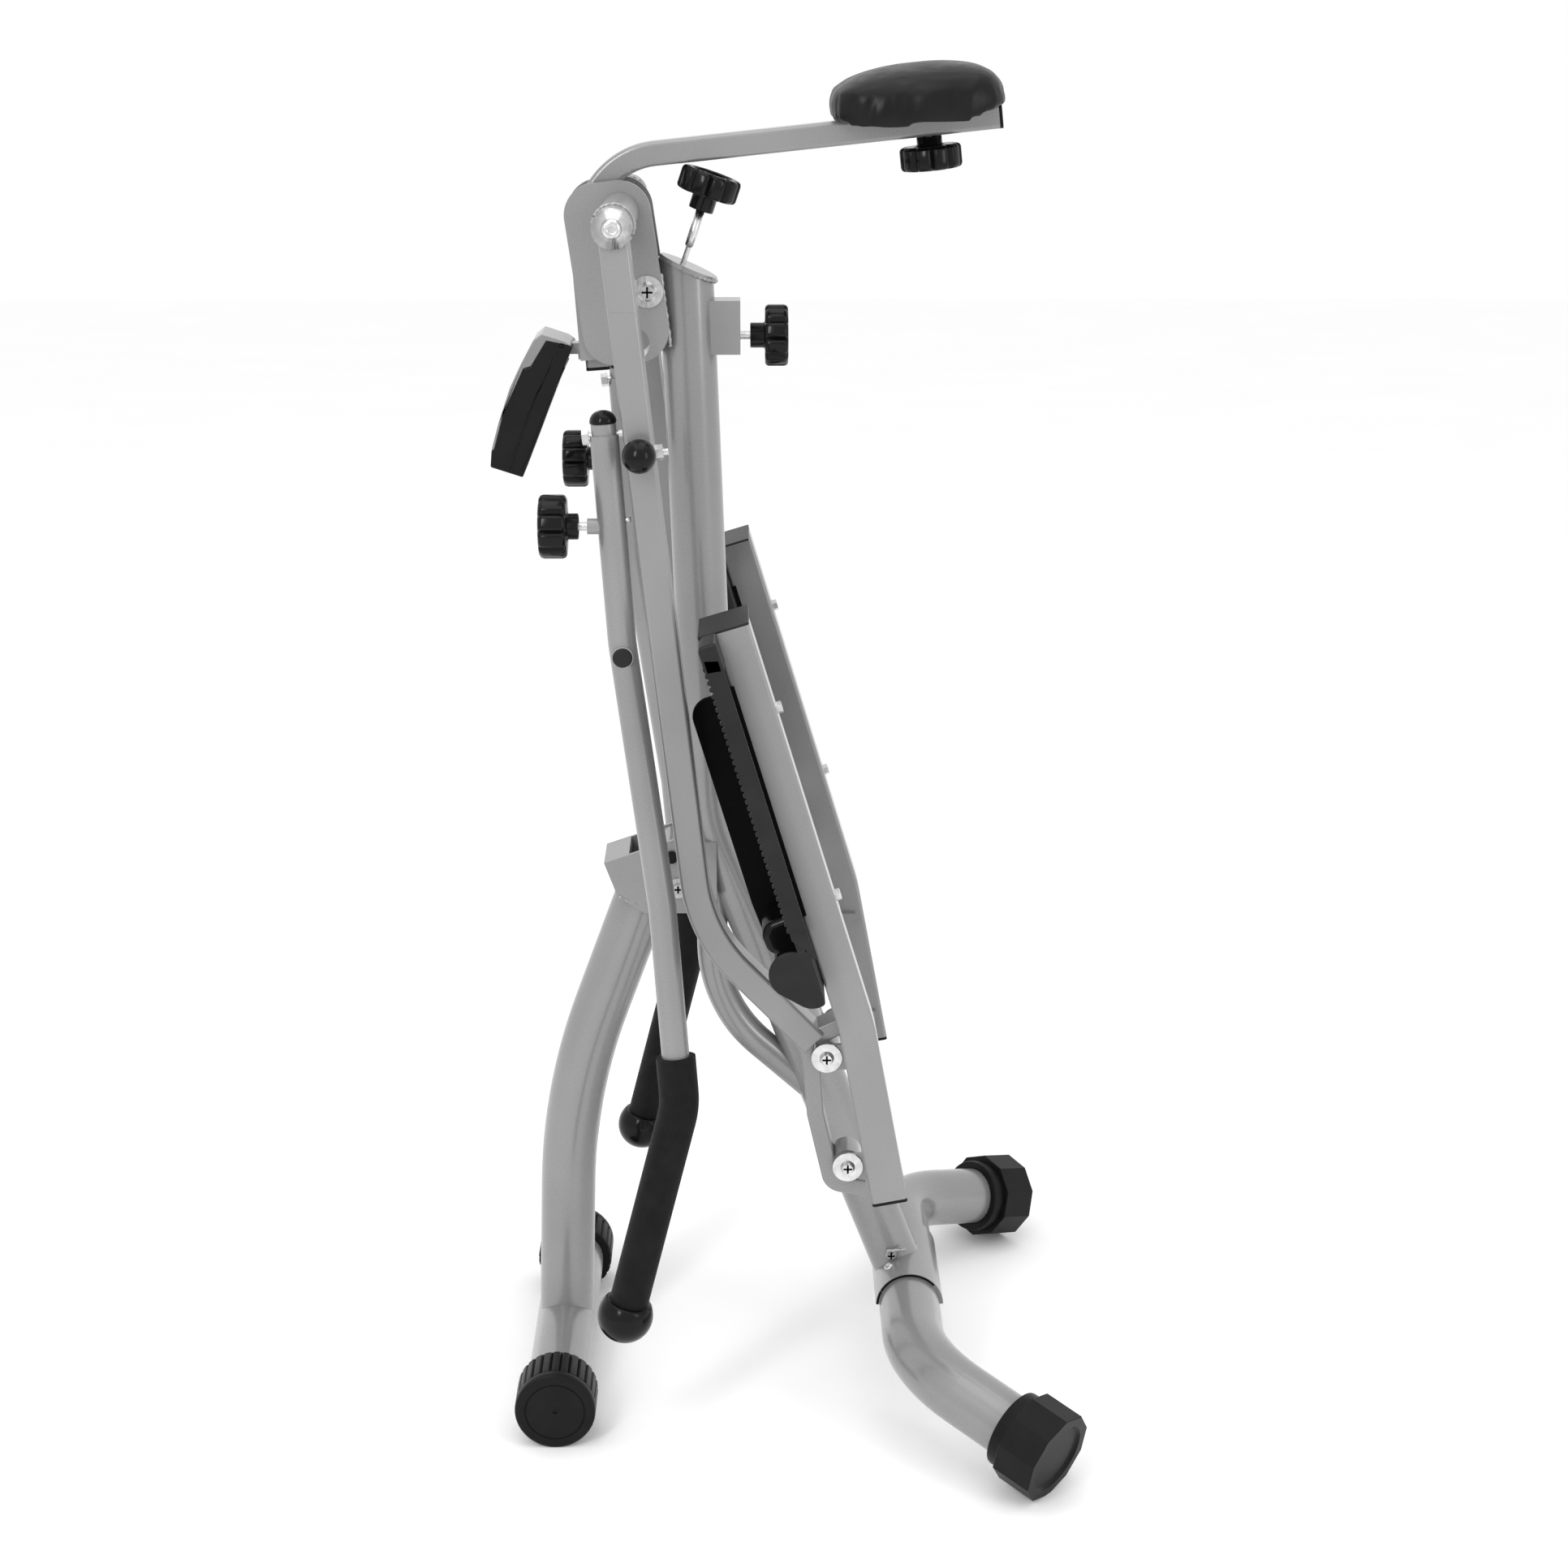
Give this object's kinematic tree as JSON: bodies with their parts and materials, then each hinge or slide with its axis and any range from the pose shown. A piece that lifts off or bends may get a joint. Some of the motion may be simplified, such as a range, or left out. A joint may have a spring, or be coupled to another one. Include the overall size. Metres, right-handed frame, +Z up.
{
  "type": "vertical climber exercise machine",
  "caption": "Folded vertical climber with swing arms, fold-up pedals, stored handlebars, body pad and small console.",
  "frame": {"origin": "on the floor, under the middle of the folded machine's bounding box", "axes": "+Z up, +X from the front leg and console side towards the rear foot, +Y across the machine towards the user's right"},
  "size_m": [0.5498, 0.6482, 1.2896],
  "materials": {
    "frame_silver": "satin",
    "zinc_steel": "satin",
    "black_plastic": "matte",
    "silver_plastic": "satin",
    "black_foam": "matte",
    "black_vinyl": "satin"
  },
  "bodies": {
    "frame": {"main_post": "frame_silver", "post_cap": "frame_silver", "lower_brace": "frame_silver", "rear_foot": "frame_silver", "rear_caps": "black_plastic", "foot_saddle": "frame_silver", "saddle_bolt": "zinc_steel", "bracket_plates": "frame_silver", "bracket_web": "frame_silver", "bracket_cross_tube": "frame_silver", "bracket_bolt": "zinc_steel", "pivot_shaft": "zinc_steel", "shaft_screws": "zinc_steel", "pad_arm_guide": "frame_silver", "knob_box": "frame_silver", "leg_hinge_lug": "frame_silver", "leg_hinge_bolt": "zinc_steel", "console_bracket": "frame_silver"},
    "front_leg_body": {"front_leg": "frame_silver", "leg_channel": "frame_silver", "front_stabiliser": "frame_silver", "front_caps": "black_plastic", "leg_plugs": "black_plastic"},
    "pad_arm_body": {"pad_arm": "frame_silver", "pad_arm_plugs": "black_plastic"},
    "pad_body": {"pad_board": "black_plastic", "seat_pad": "black_vinyl"},
    "pad_knob_body": {"pad_knob": "black_plastic"},
    "console_body": {"console_back_shell": "black_plastic", "console_front_shell": "silver_plastic"},
    "post_knob_body": {"post_knob": "black_plastic"},
    "side_knob_body": {"side_knob": "black_plastic"},
    "left_arm_body": {"left_swing_arm": "frame_silver", "left_yoke": "frame_silver", "left_arm_bolts": "zinc_steel", "left_handle_stub": "frame_silver", "left_stub_cap": "black_plastic"},
    "left_ball_body": {"left_ball_pin": "black_plastic"},
    "left_rail_body": {"left_pedal_rail": "frame_silver", "left_rail_plug": "black_plastic", "left_footplate": "black_plastic", "left_plate_nuts": "zinc_steel"},
    "left_handle_body": {"left_handle_tube": "frame_silver", "left_grip": "black_foam", "left_grip_cap": "black_plastic"},
    "left_knob_body": {"left_handle_knob": "black_plastic"},
    "right_arm_body": {"right_swing_arm": "frame_silver", "right_yoke": "frame_silver", "right_arm_bolts": "zinc_steel", "right_handle_stub": "frame_silver", "right_stub_cap": "black_plastic"},
    "right_ball_body": {"right_ball_pin": "black_plastic"},
    "right_rail_body": {"right_pedal_rail": "frame_silver", "right_rail_plug": "black_plastic", "right_footplate": "black_plastic", "right_plate_nuts": "zinc_steel"},
    "right_handle_body": {"right_handle_tube": "frame_silver", "right_grip": "black_foam", "right_grip_cap": "black_plastic"},
    "right_knob_body": {"right_handle_knob": "black_plastic"}
  },
  "joints": [
    {"name": "leg_fold", "type": "hinge", "parent": "frame", "child": "front_leg_body", "pos_m": [-0.1064, 0, 0.512], "axis": [0, 1, 0], "range_deg": [0, 40]},
    {"name": "pad_arm_slide", "type": "slide", "parent": "frame", "child": "pad_arm_body", "axis": [-0.0704, 0, 0.9975], "range_m": [0, 0.12]},
    {"name": "pad_slide", "type": "slide", "parent": "pad_arm_body", "child": "pad_body", "axis": [0.9944, 0, 0.1055], "range_m": [-0.04, 0.04]},
    {"name": "pad_knob_turn", "type": "hinge", "parent": "pad_body", "child": "pad_knob_body", "pos_m": [0.12645, 0, 1.21562], "axis": [0.1055, 0, -0.9944], "range_deg": [-180, 180]},
    {"name": "console_tilt", "type": "hinge", "parent": "frame", "child": "console_body", "pos_m": [-0.2069, 0, 1.026], "axis": [0, 1, 0], "range_deg": [-15, 15]},
    {"name": "post_knob_turn", "type": "hinge", "parent": "frame", "child": "post_knob_body", "pos_m": [-0.0969, 0, 1.101], "axis": [0.3243, 0, 0.9459], "range_deg": [-180, 180]},
    {"name": "side_knob_turn", "type": "hinge", "parent": "frame", "child": "side_knob_body", "pos_m": [-0.0354, 0, 1.037], "axis": [1, 0, 0], "range_deg": [-180, 180]},
    {"name": "left_arm_swing", "type": "hinge", "parent": "frame", "child": "left_arm_body", "pos_m": [-0.1524, -0.17, 1.151], "axis": [0, 1, 0], "range_deg": [-10, 35]},
    {"name": "left_rail_fold", "type": "hinge", "parent": "left_arm_body", "child": "left_rail_body", "pos_m": [0.0526, -0.19, 0.29], "axis": [0, 1, 0], "range_deg": [0, 90]},
    {"name": "left_handle_slide", "type": "slide", "parent": "left_arm_body", "child": "left_handle_body", "axis": [0.0681, 0, -0.9977], "range_m": [0, 0.08]},
    {"name": "left_handle_knob_turn", "type": "hinge", "parent": "left_handle_body", "child": "left_knob_body", "pos_m": [-0.1774, -0.172, 0.893], "axis": [-1, 0, 0], "range_deg": [-180, 180]},
    {"name": "left_ball_pin_pull", "type": "slide", "parent": "left_arm_body", "child": "left_ball_body", "axis": [0, -1, 0], "range_m": [0, 0.008], "stiffness_N_per_m": 800},
    {"name": "right_arm_swing", "type": "hinge", "parent": "frame", "child": "right_arm_body", "pos_m": [-0.1524, 0.17, 1.151], "axis": [0, 1, 0], "range_deg": [-10, 35]},
    {"name": "right_rail_fold", "type": "hinge", "parent": "right_arm_body", "child": "right_rail_body", "pos_m": [0.0526, 0.19, 0.29], "axis": [0, 1, 0], "range_deg": [0, 90]},
    {"name": "right_handle_slide", "type": "slide", "parent": "right_arm_body", "child": "right_handle_body", "axis": [0.0681, 0, -0.9977], "range_m": [0, 0.08]},
    {"name": "right_handle_knob_turn", "type": "hinge", "parent": "right_handle_body", "child": "right_knob_body", "pos_m": [-0.1774, 0.172, 0.893], "axis": [-1, 0, 0], "range_deg": [-180, 180]},
    {"name": "right_ball_pin_pull", "type": "slide", "parent": "right_arm_body", "child": "right_ball_body", "axis": [0, 1, 0], "range_m": [0, 0.008], "stiffness_N_per_m": 800}
  ]
}
